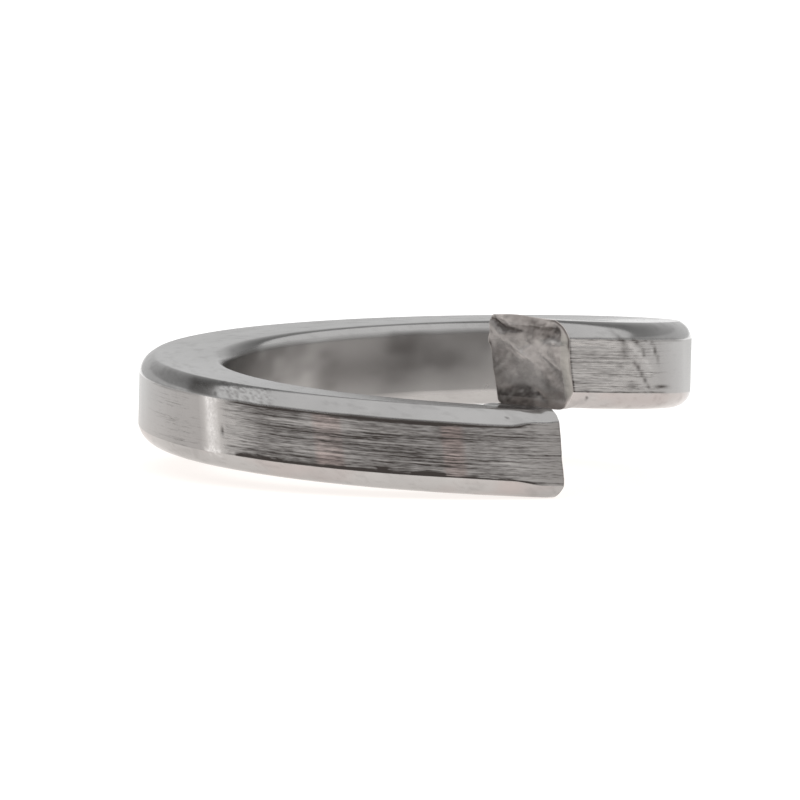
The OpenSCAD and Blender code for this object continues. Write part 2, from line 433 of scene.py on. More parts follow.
@dataclass(frozen=True)
class DrawnStainless:
    """Austenitic stainless wire, drawn and coiled cold.

    The die leaves long fine lines along the wire, and the drawing grease that stays in them shows as broken
    dark streaks. The lines spread a reflection across the wire and keep it sharp along it. The rolled
    corners stay smooth and brighter.
    """

    name: str = "drawn_stainless_steel"
    steel: str = "#B9B8B7"
    # The grease colour also darkens the grime's painted shade and painted dark reflection.
    grease: str = "#464240"
    # Colours of the painted pinkish reflection and warm tint, and of the painted highlight and rubs.
    blush: str = "#BFB1AE"
    highlight_and_rub: str = "#E8E8E8"
    # Tint of a glancing reflection under grease.
    glancing: str = "#A9A7A5"
    # Roughness of the bare wire, and what full lines, the bore's matt wall, cloudiness and grease add.
    smooth_roughness: float = 0.10
    line_roughness: float = 0.12
    matt_roughness: float = 0.13
    cloud_roughness: float = 0.08
    grease_roughness: float = 0.2
    spread: float = 0.6
    # Pitch across the wire and run along it of the die lines and of the flecks that break them up, mm.
    line_pitch: float = 0.11
    line_run: float = 9.0
    fleck_pitch: float = 0.08
    fleck_run: float = 0.7
    fleck_share: float = 0.43
    # How far the drawn mark lifts the lines, and the levels between which grease fills them.
    fill: float = 0.42
    bare: float = 0.57
    filled: float = 0.89
    line_bump: float = 0.008
    # Sizes of the steel's grain and of its cloudy tone, mm.
    grain: float = 0.16
    grain_bump: float = 0.14
    mottle: float = 2.6

    def make(self) -> Material:
        """Makes the material.

        Returns:
            The material, which reads the skin's marks and its lay along and across the wire.
        """
        material, tree = blank_material(self.name)
        add = partial(add_node, tree)
        lay, *marks = (add("Attribute", attribute_name=name) for name in ("lay", *MARKS))
        lay = lay.outputs["Vector"]
        drawn, grime, blush, burnish, matt = (mark.outputs["Fac"] for mark in marks)
        place = add("TexCoord").outputs["Object"]
        # Die lines: one noise cell is a line's pitch across the wire and its run along it. Real ones are
        # finer than shows from a step away, so they are drawn a few times coarser. Flecks break them up.
        streaks, flecks = (
            add("TexNoise", {"Vector": add("VectorMath", {0: lay, 1: (1 / run, 1 / pitch, 1)},
                                           operation="MULTIPLY"),
                             "Scale": 1.0, "Detail": detail, "Roughness": 0.6})
            for run, pitch, detail in ((self.line_run, self.line_pitch, 2.0),
                                       (self.fleck_run, self.fleck_pitch, 3.0)))
        lines = add("Mix", {"Factor": self.fleck_share, 2: streaks, 3: flecks}, data_type="FLOAT")
        # The drawn mark is the share of the wall that the grease covers.
        level = add("Math", {0: drawn, 1: self.fill, 2: lines}, operation="MULTIPLY_ADD")
        level = add("MapRange", {"Value": level, "From Min": self.bare, "From Max": self.filled})
        gripped = add("MapRange", {"Value": drawn, "From Min": 0.0, "From Max": 0.12})
        # Grime, with the painted shade and painted dark reflection in it, darkens the wall as grease does.
        held = add("Math", {0: level, 1: gripped, 2: grime}, operation="MULTIPLY_ADD", use_clamp=True)
        # Pickled grain of the steel itself. It is finer than shows, so it is drawn a few times coarser.
        speck, cloud = (
            add("TexNoise", {"Vector": place, "Scale": 1 / (size * MM), "Detail": detail, "Roughness": rough})
            for size, detail, rough in ((self.grain, 3.0, 0.6), (self.mottle, 4.0, 0.55)))
        tone = add("MapRange", {
            "Value": cloud, "From Min": 0.3, "From Max": 0.7, "To Min": 0.93, "To Max": 1.03})
        # Mixes in the painted pinkish reflection and warm tint.
        base = add("Mix", {"Factor": blush, "A": linear(self.steel), "B": linear(self.blush)},
                   data_type="RGBA")
        # The painted highlight and the rubs brighten the high grain first.
        high = add("MapRange", {
            "Value": speck, "From Min": 0.35, "From Max": 0.65, "To Min": 0.55, "To Max": 1.25})
        high = add("Math", {0: burnish, 1: high}, operation="MULTIPLY", use_clamp=True)
        highlighted_and_rubbed = add("Mix", {"Factor": high, "A": base.outputs["Result"], "B": linear(self.highlight_and_rub)},
                     data_type="RGBA")
        toned = add("VectorMath", {0: highlighted_and_rubbed.outputs["Result"], "Scale": tone}, operation="SCALE")
        colour = add("Mix", {"Factor": held, "A": toned, "B": linear(self.grease)}, data_type="RGBA")
        glance = add("Mix", {"Factor": held, "A": WHITE, "B": linear(self.glancing)}, data_type="RGBA")
        dull = add("MapRange", {
            "Value": drawn, "From Min": 0.0, "From Max": 0.3,
            "To Min": self.smooth_roughness, "To Max": self.smooth_roughness + self.line_roughness})
        for mark, more in ((cloud, self.cloud_roughness), (held, self.grease_roughness),
                           (matt, self.matt_roughness)):
            dull = add("Math", {0: mark, 1: more, 2: dull}, operation="MULTIPLY_ADD")
        height = add("Math", {0: lines, 1: drawn}, operation="MULTIPLY")
        height = add("Math", {0: speck, 1: self.grain_bump, 2: height}, operation="MULTIPLY_ADD")
        bump = add("Bump", {"Height": height, "Distance": self.line_bump * MM, "Strength": 1.0})
        shader = add("BsdfPrincipled", {
            "Base Color": colour.outputs["Result"], "Metallic": 1.0, "Roughness": dull,
            "Specular Tint": glance.outputs["Result"], "Anisotropic": self.spread,
            "Anisotropic Rotation": 0.25, "Normal": bump})
        add("OutputMaterial", {"Surface": shader})
        return material


@dataclass(frozen=True)
class TornStainless:
    """The same steel where the shear tore it: a dull, crystalline break, with painted shade on its planes and
    in its hollows.
    """

    name: str = "torn_stainless_steel"
    steel: str = "#C9C5C3"
    shade: str = "#5C5856"
    highlight_and_rub: str = "#A7A5A1"
    roughness: float = 0.22
    crystal_roughness: float = 0.2
    # Sizes of the crystals and of the folds that hold shade, mm, and height of the crystals, mm.
    crystal: float = 0.12
    fold: float = 0.8
    bump: float = 0.014

    def make(self) -> Material:
        """Makes the material.

        Returns:
            The material, which reads the marks drawn, as the rubbed edge, and grime, which here is painted
            shade.
        """
        material, tree = blank_material(self.name)
        add = partial(add_node, tree)
        place = add("TexCoord").outputs["Object"]
        rub, grime = (add("Attribute", attribute_name=name).outputs["Fac"] for name in MARKS[:2])
        crystals, folds = (
            add("TexNoise", {"Vector": place, "Scale": 1 / (size * MM), "Detail": detail, "Roughness": rough})
            for size, detail, rough in ((self.crystal, 4.0, 0.65), (self.fold, 5.0, 0.6)))
        shaded = add("MapRange", {
            "Value": folds, "From Min": 0.45, "From Max": 0.75, "To Min": 0.0, "To Max": 0.12})
        held = add("Math", {0: shaded, 1: grime}, operation="ADD", use_clamp=True)
        highlighted_and_rubbed = add("Mix", {"Factor": rub, "A": linear(self.steel), "B": linear(self.highlight_and_rub)},
                     data_type="RGBA")
        colour = add("Mix", {"Factor": held, "A": highlighted_and_rubbed.outputs["Result"], "B": linear(self.shade)},
                     data_type="RGBA")
        rough = add("Math", {0: crystals, 1: self.crystal_roughness, 2: self.roughness},
                    operation="MULTIPLY_ADD")
        bump = add("Bump", {"Height": crystals, "Distance": self.bump * MM, "Strength": 1.0})
        shader = add("BsdfPrincipled", {
            "Base Color": colour.outputs["Result"], "Metallic": 1.0, "Roughness": rough, "Normal": bump})
        add("OutputMaterial", {"Surface": shader})
        return material


class Skin:
    """Gathers the points, faces and marks of one mesh, in millimetres, and makes the object."""

    def __init__(self) -> None:
        """Starts with nothing gathered."""
        self.points: list[Array] = []
        self.marks: list[Array] = []
        self.faces: list[list[int]] = []
        self.lay: list[Array] = []
        self.bake: list[Array] = []
        self.finish: list[int] = []
        self.count = 0

    def add_points(self, points: Array, marks: Array) -> Array:
        """Adds points.

        Args:
            points: their places, mm.
            marks: how drawn each is, its grime and painted shade, its painted reflection and tint, its
                painted highlight and rub, and how matt it is, from 0 to 1.

        Returns:
            Their numbers.
        """
        numbers = self.count + np.arange(len(points))
        self.points.append(points)
        self.marks.append(marks)
        self.count += len(points)
        return numbers

    def add_faces(self, corners: Array, lay: Array, bake: Array, finish: int) -> None:
        """Adds faces that all have as many corners.

        Args:
            corners: the points of each face, anticlockwise from outside.
            lay: each corner's place along and across the wire, mm.
            bake: each corner's place on the bake sheet, mm.
            finish: number of the material.
        """
        self.faces += corners.tolist()
        self.lay.append(lay.reshape(-1, 2))
        self.bake.append(bake.reshape(-1, 2))
        self.finish += [finish] * len(corners)

    def make(self, name: str, finishes: tuple[Material, ...]) -> Object:
        """Makes the object.

        Args:
            name: the piece's name.
            finishes: its materials, by number.

        Returns:
            The object, linked to the scene.
        """
        mesh = bpy.data.meshes.new(name)
        mesh.from_pydata((np.concatenate(self.points) * MM).tolist(), [], self.faces)
        for material in finishes:
            mesh.materials.append(material)
        mesh.polygons.foreach_set("material_index", self.finish)
        mesh.polygons.foreach_set("use_smooth", [True] * len(self.faces))
        marks = np.concatenate(self.marks)
        for column, label in enumerate(MARKS):
            layer = mesh.attributes.new(label, "FLOAT", "POINT")
            layer.data.foreach_set("value", marks[:, column].astype(np.float32))
        lay = np.concatenate(self.lay)
        layer = mesh.attributes.new("lay", "FLOAT_VECTOR", "CORNER")
        layer.data.foreach_set("vector", np.c_[lay, np.zeros(len(lay))].astype(np.float32).ravel())
        sheet = np.concatenate(self.bake)
        layer = mesh.uv_layers.new(name="OFBake")
        layer.data.foreach_set("uv", (sheet / (sheet.max() + BAKE_GAP)).astype(np.float32).ravel())
        mesh.update()
        mesh.set_sharp_from_angle(angle=math.radians(SHARP_ANGLE))
        made = bpy.data.objects.new(name, mesh)
        show(made)
        return made


@dataclass
class Surface:
    """Places over the wire's skin, by station and row, and the parts of the section that they lie on."""

    coil: Coil
    wall_rows: int
    turn: Array
    along: Array
    across: Array
    x: Array
    y: Array

    def __post_init__(self) -> None:
        """Works out the masks of the outer wall, its corners and the bore wall, from 0 to 1."""
        coil, x, y, last = self.coil, self.x, self.y, self.wall_rows - 1
        self.wall = np.zeros_like(x)
        self.wall[:, :self.wall_rows] = 1
        self.rest = 1 - self.wall
        # Distance below the outer wall's upper edge, and above its lower edge.
        self.to_top, self.to_foot = y[:, last:self.wall_rows] - y, y - y[:, :1]
        self.outward = smooth(x, coil.mid_r, coil.outer_r)
        self.bore = smooth(x, coil.bore_r + 0.15, coil.bore_r)
        self.upper_corner = self.rest * smooth(self.to_top, 0, -0.15) * smooth(
            x, coil.outer_r - 0.85, coil.outer_r - 0.70)
        self.lower_corner = self.rest * smooth(-y, 1.0, 1.5) * self.outward

    def on(self, rows: Rows) -> Array:
        """Adds up windows along the turn, of which each row has the strength, start, end and fade."""
        return sum(strength * window(self.turn, *limits) for strength, *limits in rows)


@dataclass(frozen=True)
class Wear:
    """Die lines, grease, film and rubs on the wire's skin, with painted highlights, painted reflections and
    painted shade.

    The tables of stretches give strength, start, end and fade along the turn, in degrees.
    """

    seed: int = 21
    # Turn angle, and depth of the die's lines, grease in them and thin film there.
    die_marks: Rows = (
        (0, 0.05, 0.18, 0.46), (5, 0.1, 0.24, 0.38), (12, 0.8, 0.53, 0.06), (20, 1.0, 0.64, 0.04),
        (28, 1.0, 0.67, 0.04), (36, 1.0, 0.68, 0.04), (44, 1.0, 0.63, 0.05), (52, 1.0, 0.49, 0.06),
        (58, 1.0, 0.66, 0.07), (63, 1.0, 0.66, 0.07), (67, 0.9, 0.54, 0.08), (70, 0.5, 0.4, 0.12),
        (74, 0.3, 0.22, 0.22), (76, 0.0, 0.02, 0.12), (80.2, 0.0, 0.02, 0.12), (82, 0.2, 0.06, 0.3),
        (90, 0.25, 0.1, 0.31), (98, 0.15, 0.06, 0.23), (108, 0.05, 0.01, 0.22), (122, 0.05, 0.02, 0.4),
        (134, 0.35, 0.24, 0.2), (196, 0.35, 0.28, 0.14), (208, 0.8, 0.48, 0.06), (282, 0.8, 0.48, 0.06),
        (298, 0.1, 0.04, 0.46), (308, 0.05, 0.01, 0.46), (316, 0.05, 0.01, 0.22), (324, 0.05, 0.02, 0.23),
        (331, 0.15, 0.06, 0.3), (339, 0.25, 0.13, 0.2), (346, 0.6, 0.23, 0.1), (352, 0.8, 0.31, 0.06),
        (360, 0.8, 0.36, 0.06))
    # Rubs across the die lines near the upper end, where a tool scraped along, and two specks of dirt: place
    # along the outer wall and height, mm. A dark rub holds grease, a light one is wiped.
    scuffs: tuple[Dent, ...] = each(
        Dent, (87.71, 1.4, 0.17, 0.55, 0.5, -49), (87.5, 0.72, 0.26, 0.34, 0.42, -20),
        (87.95, 0.0, 0.28, 0.1, 0.45), (86.51, 1.3, 0.12, 0.4, 0.52, -55),
        (86.56, 0.05, 0.12, 0.36, 0.55, -47), (85.95, -0.64, 0.1, 0.66, 0.55, -40),
        (84.72, 0.78, 0.12, 0.56, 0.5, -28), (85.87, 0.64, 0.13, 0.32, 0.4, -20),
        (85.8, 0.35, 0.15, 0.9, -0.22, -50), (86.95, 1.05, 0.11, 0.45, -0.2, -50),
        (84.2, -1.06, 0.75, 0.08, 0.6), (87.05, -1.0, 0.4, 0.18, 0.4), (85.6, -0.36, 0.5, 0.05, -0.25),
        (85.1, 0.95, 0.09, 0.4, -0.17, -30), (90.38, -1.72, 0.09, 0.08, 0.95), (2.9, 1.85, 0.06, 0.05, 0.95))
    line_depth: float = 0.005
    flat_line_depth: float = 0.0002
    crackle_height: float = 0.0035
    # A nick in the outer wall: its turn, height, half width in degrees, half height and depth.
    nick: tuple[float, ...] = (75.3, -0.2, 0.30, 0.24, 0.03)
    # Darkening under the wall's upper edge and over it, in scallops and in a line along its foot.
    under_edge: Rows = ((0.25, 8, 72, 3), (0.45, 20, 46, 5))
    over_edge: Rows = ((0.62, 10, 70, 4), (0.28, 26, 44, 7), (0.20, 86, 96, 8), (0.24, 322, 352, 8))
    scallops: Rows = ((0.8, 62, 71, 2), (0.75, 26, 45, 3))
    foot_line: Rows = ((0.75, 8, 68, 5), (0.40, 331, 358, 4))
    # Crackle on the upper corner, and a painted dark reflection on it.
    crackled: Rows = ((1, 63, 75.5, 2.5),)
    dark_reflection_stretch: Rows = ((0.58, 78.5, 83, 4),)
    # Darkening of the bore wall: all over, about its middle, and in its upper half.
    bore_darkened: Rows = ((0.22, 176, 199, 9),)
    bore_middle: Rows = ((0.28, 174, 218, 8),)
    bore_dusk: Rows = ((1, 202, 221, 7),)
    # Painted reflection: pinkish bands on the outer wall. Painted highlight: a bright band on the outer wall,
    # with bright flecks at its ends.
    pink_reflection_bands: Rows = ((1, 47.2, 52.0, 1.2), (1, 22.2, 25.4, 1.2))
    highlight_band: Rows = ((0.48, 76.7, 79.7, 0.5), (0.4, 77.6, 79.2, 0.4))
    highlight_flecks: Rows = ((0.7, 76.0, 80.4, 0.6),)

    def along_turn(self, turn: Array) -> tuple[Array, ...]:
        """Reads depth, grease and film of the die marks, from 0 to 1, at the turn angles."""
        at, *kinds = zip(*self.die_marks)
        return tuple(np.interp(turn, at, kind) for kind in kinds)

    def edge_darkening(self, s: Surface, layer: Callable[..., Array], ragged: Array, grease: Array) -> Array:
        """Darkening along the upper edge of the outer wall, over it, and along its foot.

        Args:
            s: the wire's skin.
            layer: draws the next layer of noise.
            ragged: noise from 0 to 1.
            grease: how much of it the die lines hold.

        Returns:
            How much there is.
        """
        under = s.on(self.under_edge) * np.exp(-(s.to_top / (0.05 + 0.08 * ragged)) ** 2)
        over = s.on(self.over_edge) * (0.8 + 0.2 * ragged) * (
            smooth(s.to_top, -0.13, -0.08) * smooth(s.to_top, 0.10, 0) * s.outward)
        blot = smooth(layer(0.9, 0.30) + 0.5 * layer(0.35, 0.12), 0.0, 0.45)
        foot = blot * (s.on(self.scallops) + 0.30 * grease) * (
            np.exp(-(s.to_foot / (0.16 + 0.22 * ragged)) ** 2))
        line = s.on(self.foot_line) * (0.4 + 0.8 * ragged) * np.exp(-(s.to_foot / 0.08) ** 2)
        return s.wall * (under + foot + line) + over

    def bore_darkening(self, s: Surface, film: Array) -> Array:
        """Darkening of the bore wall, mottled and lighter towards its foot.

        Args:
            s: the wire's skin.
            film: noise from 0 to 1.

        Returns:
            How much there is.
        """
        up, dusk = smooth(s.y, -1.4, 0.4), s.on(self.bore_dusk)
        middle = s.on(self.bore_middle) * np.exp(-((s.y + 0.1) / 1.2) ** 2)
        return s.bore * (0.02 + (0.05 + (0.30 - 0.18 * dusk) * up) * film + 0.14 * up + s.on(self.bore_darkened)
                         + middle * (1 - 0.4 * dusk) + 0.18 * smooth(s.y, -0.7, 0.1) * dusk)

    def read(self, s: Surface) -> tuple[Array, Array]:
        """Reads the wear. The layers of noise are drawn in a fixed order.

        Args:
            s: the wire's skin.

        Returns:
            Depth of the marks along the outward normal, mm, and the marks of the skin, by station, row and
            kind.
        """
        layer = partial(Grain(self.seed).over, s.along, s.across)
        depth_of, grease_of, film_of = self.along_turn(s.turn)
        # Die lines: long scratches of three widths, broken up along their length.
        lines = 0.5 + 0.45 * layer(9.0, 0.16) + 0.55 * layer(6.0, 0.08) + 0.20 * layer(2.2, 0.10)
        patch = 0.10 * layer(4.5, 0.8) + 0.10 * layer(1.8, 0.30)
        ragged = 0.5 + 0.5 * layer(1.3, 0.5)
        edge_dark = self.edge_darkening(s, layer, ragged, grease_of)
        at, level, wide, high, deep = self.nick
        nick = s.wall * np.exp(-((s.turn - at) / wide) ** 2 - ((s.y - level) / high) ** 2)
        # Where the roll left the upper corner rough, it shows as fine crackle.
        crackle = (0.6 * layer(0.22, 0.15) + layer(0.13, 0.10)) * (
            s.upper_corner * s.on(self.crackled))
        film = smooth(layer(3.2, 1.3) + 0.5 * layer(1.1, 0.6), -0.6, 0.9)
        # Painted reflection in pinkish bands on the outer wall, and a mottled warm tint on the lower corner.
        blush = s.wall * s.on(self.pink_reflection_bands) * (0.80 + 0.30 * layer(1.5, 0.5)) + (
            0.45 * film * s.lower_corner)
        flecks = np.clip(2 * layer(0.14, 0.10), 0, 1) * s.on(self.highlight_flecks) * (
            smooth(s.to_foot, 0.30, 0.05) * smooth(s.y, -1.8, -1.3)
            + 0.5 * smooth(s.to_top, 0.3, 0.1) * s.wall)
        # Painted highlight: a bright vertical band on the outer wall, with bright flecks at its ends; the
        # crackle's raised bits are rubbed bright.
        highlight_and_rub = s.wall * s.on(self.highlight_band) * (0.80 + 0.35 * layer(0.8, 0.35)) + (
            0.22 * np.clip(crackle, 0, 1) + flecks)
        # Handling left the rolled corners and the flats faintly spotted.
        spots = smooth(layer(0.7, 0.30) + 0.7 * layer(0.25, 0.14), 0.1, 1.0)
        # Painted shadow: a thin dark line round each end, heavier at the upper one.
        start = smooth(np.minimum(s.along, s.coil.length - s.along), 0.14, 0.02) * (
            0.10 + 0.55 * (s.turn > 180)) * (0.45 + 0.75 * ragged)
        scuff = sum(rub.at(s.along, s.y) for rub in self.scuffs) * (
            smooth(s.x, s.coil.mid_r, s.coil.outer_r - 0.6))
        # A painted dark reflection on the upper corner.
        dark_reflection = s.on(self.dark_reflection_stretch) * s.upper_corner * smooth(s.to_top, -0.95, -0.6)
        # Grime, together with the painted shade round the ends and the painted dark reflection on the upper
        # corner.
        grime = (s.wall * (film_of + start) + 0.8 * nick + edge_dark + scuff + dark_reflection
                 + 0.45 * np.clip(-crackle, 0, 1) + 0.35 * film_of * s.lower_corner
                 + s.rest * (0.04 * film + 0.10 * spots * (1 - s.bore)) + self.bore_darkening(s, film))
        drawn = s.wall * (grease_of + patch * np.clip(3 * grease_of, 0, 1))
        clean = s.rest * (1 - s.upper_corner) * (1 - s.bore)
        depth = (self.crackle_height * crackle - deep * nick - self.line_depth * depth_of * s.wall * lines
                 - self.flat_line_depth * lines * clean)
        return depth, np.stack([np.clip(mark, 0, 1) for mark in (drawn, grime, blush, highlight_and_rub, s.bore)], -1)


@dataclass
class SpringWasher:
    """The washer: a fine mesh of the coiled wire with die lines, wear and two torn ends."""

    # Rows of the section: the outer wall, top, bore wall and underside, and the corner after each of them.
    FLAT_ROWS = (74, 20, 30, 12)
    CORNER_ROWS = (20, 11, 11, 12)
    # Strips of the skin on the bake sheet, and how many lie beside each other.
    STRIPS, BESIDE = 6, 3

    coil: Coil
    # Radii of the corners. The upper outer one ends at its crest, where its normal leans by this angle.
    upper_outer_corner: float = 1.18
    crest: float = 66.0
    upper_inner_corner: float = 0.74
    lower_corner: float = 1.06
    # How far the corner rounds start outside their wall: the upper outer one, and the others.
    upper_break: float = 0.016
    wall_break: float = 0.02
    # The outer corners of the lower tip: the turn on which they tighten, the share of it that this takes,
    # and their radius. The inner corners of the upper end: the run on which the shear squashed them.
    tip_run: float = 11.6
    tip_fade: float = 0.55
    tip_corner: float = 0.86
    squashed_run: float = 2.5
    squashed_corner: float = 0.40
    # The drag burrs of both ends: height, run along the wire and how far down the wall they start.
    burr: float = 0.12
    burr_run: float = 0.8
    burr_side: float = 1.2
    # Length over which an end's relief fades into the wire.
    relief_run: float = 1.2
    stations: int = 410
    cap_rings: int = 44
    wear: Wear = Wear()
    upper_end: TornEnd = UPPER_END
    lower_end: TornEnd = LOWER_END

    def section(self, radii: list[Array]) -> tuple[Array, ...]:
        """The wire's section, anticlockwise from the foot of the outer wall.

        Args:
            radii: radius of the upper outer, upper inner, lower inner and lower outer corner, mm, each a
                column with a value for each station.

        Returns:
            Radius, height, and the outward normal's two parts, each by station and row.
        """
        c, half = self.coil, self.coil.wire_h / 2
        # Each corner: side of its wall, side of its flat, and the direction of its normal at both limits.
        kinds = ((1, 1, 0, self.crest), (-1, 1, 90, 180), (-1, -1, 180, 270), (1, -1, 270, 360))
        arcs = []
        for r, (side, level, start, stop), count in zip(radii, kinds, self.CORNER_ROWS):
            proud = self.wall_break if arcs else self.upper_break
            top = 1.0 if arcs else math.sin(math.radians(self.crest))
            cut = np.degrees(np.arccos(1 - proud / r))
            low, high = start + (cut if start in (0, 180) else 0), stop - (cut if stop in (180, 360) else 0)
            wall = c.outer_r + proud if side > 0 else c.bore_r - proud
            angle = np.radians(low + (high - low) * np.linspace(0, 1, count))
            arcs.append((wall - side * r + r * np.cos(angle), level * (half - top * r) + r * np.sin(angle),
                         np.cos(angle), np.sin(angle)))
        parts = []
        for k, (count, normal) in enumerate(zip(self.FLAT_ROWS, ((1, 0), (0, 1), (-1, 0), (0, -1)))):
            before, after = arcs[k - 1], arcs[k]
            share = np.linspace(0, 1, count + 2)[1:-1]
            flat = [before[i][:, -1:] * (1 - share) + after[i][:, :1] * share for i in (0, 1)]
            parts += [(*flat, *[np.full_like(flat[0], way) for way in normal]), after]
        return tuple(np.concatenate([part[i] for part in parts], 1) for i in range(4))

    def spread(self) -> Array:
        """Spreads the stations, closer in front and at the torn ends.

        Returns:
            Their shares of the sweep.
        """
        fine, length = np.linspace(0, 1, 4001), self.coil.length
        near_ends = sum(np.exp(-(share * length / 0.8) ** 2) for share in (fine, 1 - fine))
        weight = 1 + 0.6 * window(fine * self.coil.sweep, 0, 118, 12) + 3 * near_ends
        total = np.concatenate([[0], np.cumsum((weight[1:] + weight[:-1]) / 2)])
        return np.interp(np.linspace(0, 1, self.stations), total / total[-1], fine)

    def shape(self, turn: Array, run: Array) -> tuple[Array, ...]:
        """The section at each station, with its tips, squashed corners, drag burrs and slight wobble.

        Args:
            turn: turn angle of each station.
            run: its place along the outer wall, mm.

        Returns:
            Radius, height, and the outward normal's two parts, each by station and row.
        """
        wobble = partial(Grain(11).over, run, np.zeros_like(run))
        tip = smooth(turn, self.tip_run, (1 - self.tip_fade) * self.tip_run)
        far, half = self.coil.length - run, self.coil.wire_h / 2
        squashed = smooth(far, self.squashed_run, 0.3)
        radii = [plain + (changed - plain) * share for plain, changed, share in (
            (self.upper_outer_corner, self.tip_corner, tip),
            (self.upper_inner_corner, self.squashed_corner, squashed),
            (self.lower_corner, self.squashed_corner, squashed), (self.lower_corner, self.tip_corner, tip))]
        radii[0] = radii[0] + 0.035 * wobble(6.0, 1) + 0.015 * wobble(1.4, 1)
        radii[3] = radii[3] + 0.040 * wobble(4.0, 1)
        x, y, nx, ny = self.section(radii)
        lift = (smooth(run, self.burr_run, 0) * smooth(y, half - self.burr_side, half)
                - smooth(far, self.burr_run, 0) * smooth(-y, half - self.burr_side, half))
        return x, y + self.burr * lift, nx, ny

    def cover(self, skin: Skin, grid: Array, run: Array, across: Array) -> float:
        """Covers the wire, laid on the bake sheet as strips in two tiers.

        Args:
            skin: where the faces go.
            grid: numbers of its points, by station and row.
            run: place of each station along the outer wall, mm.
            across: place of each row and of the first one again round the section, by station, mm.

        Returns:
            Height of a tier, mm.
        """
        rows = grid.shape[1]
        j, k = (g.ravel() for g in np.meshgrid(np.arange(self.stations - 1), np.arange(rows), indexing="ij"))
        jj, kk = np.stack([j, j, j + 1, j + 1], 1), np.stack([k, k + 1, k + 1, k], 1)
        lay = np.stack([run[jj, 0], across[jj, kk]], -1)
        strip = np.minimum((run[j, 0] * self.STRIPS / self.coil.length).astype(int), self.STRIPS - 1)
        first = np.array([run[j[strip == s], 0].min() for s in range(self.STRIPS)])
        # A strip may run a station past its share of the wire.
        wide, high = self.coil.length / self.STRIPS + 0.6 + BAKE_GAP, np.ptp(across) + BAKE_GAP
        corner = np.stack([(strip % self.BESIDE) * wide - first[strip] + BAKE_GAP,
                           (strip // self.BESIDE) * high + BAKE_GAP - across.min()], -1)
        skin.add_faces(grid[jj, kk % rows], lay, lay + corner[:, None], 0)
        return high

    def cap(self, skin: Skin, torn: TornEnd, rim: Array, place: tuple[Array, Array], u: float,
            corner: tuple[float, float]) -> None:
        """Closes one end with rings that shrink towards the middle of the section.

        Args:
            skin: where the points and faces go.
            torn: the end.
            rim: numbers of the section's points at that end.
            place: their distances outwards and upwards from the middle of the section, mm.
            u: share of the sweep at that end.
            corner: place of the face's middle on the bake sheet, mm.
        """
        coil, rows = self.coil, len(rim)
        share = np.linspace(0, 1, self.cap_rings + 1)[1:-1, None]
        px, py = (np.append((axis * (1 - share)).ravel(), 0.0) for axis in place)
        half, from_rim = coil.wire_w / 2, np.append(np.repeat(share, rows), 1)
        numbers = np.r_[rim, skin.add_points(
            coil.place(px + coil.mid_r, py, u + 0 * px, torn.relief(px, py, half)),
            torn.marks(px, py, half, from_rim))]
        flat = np.stack([np.r_[place[0], px], np.r_[place[1], py]], -1)
        rings = np.arange(rows * self.cap_rings).reshape(-1, rows)
        after = np.roll(rings, -1, 1)
        quads = np.stack([rings[:-1], after[:-1], after[1:], rings[1:]], -1).reshape(-1, 4)
        fan = np.stack([rings[-1], after[-1], np.full(rows, rings.size)], -1)
        for group in (quads, fan):
            group = group[:, ::-1] if torn.end is End.LOWER else group
            skin.add_faces(numbers[group], flat[group] + coil.wire_w, flat[group] + np.array(corner), 1)

    def build(self, finishes: tuple[Material, ...]) -> Object:
        """Builds the washer's mesh with its marks and bake sheet.

        Args:
            finishes: the wire's material and the torn faces' material.

        Returns:
            The finished piece.
        """
        coil, u = self.coil, self.spread()[:, None]
        turn = u * coil.sweep
        run = np.radians(turn) * coil.outer_r
        x, y, nx, ny = self.shape(turn, run)
        step = np.hypot(np.diff(x, axis=1, append=x[:, :1]), np.diff(y, axis=1, append=y[:, :1]))
        across = y[:, :1] + np.concatenate([np.zeros_like(run), np.cumsum(step, 1)], 1)
        along, shift = run + 0 * x, np.zeros_like(x)
        depth, marks = self.wear.read(
            Surface(coil, self.FLAT_ROWS[0], turn + 0 * x, along, across[:, :-1], x, y))
        for torn, far in ((self.lower_end, along), (self.upper_end, coil.length - along)):
            depth = depth + torn.rim(x - coil.mid_r, y) * smooth(far, torn.burr_run, 0)
            shift = shift + torn.relief(x - coil.mid_r, y, coil.wire_w / 2) * np.clip(
                1 - far / self.relief_run, 0, 1)
        x, y = x + nx * depth, y + ny * depth
        skin = Skin()
        grid = skin.add_points(coil.place(x, y, u + 0 * x, shift).reshape(-1, 3),
                               marks.reshape(-1, marks.shape[-1])).reshape(x.shape)
        tier = self.cover(skin, grid, run, across)
        # The two end faces lie side by side above the strips.
        for torn, at, column in ((self.lower_end, 0, 0), (self.upper_end, -1, 1)):
            middle = (BAKE_GAP + (column + 0.5) * (coil.wire_w + 1), 2 * tier + 0.5 * (coil.wire_h + 1))
            self.cap(skin, torn, grid[at], (x[at] - coil.mid_r, y[at]), u[at, 0], middle)
        return skin.make("washer_steel", finishes)


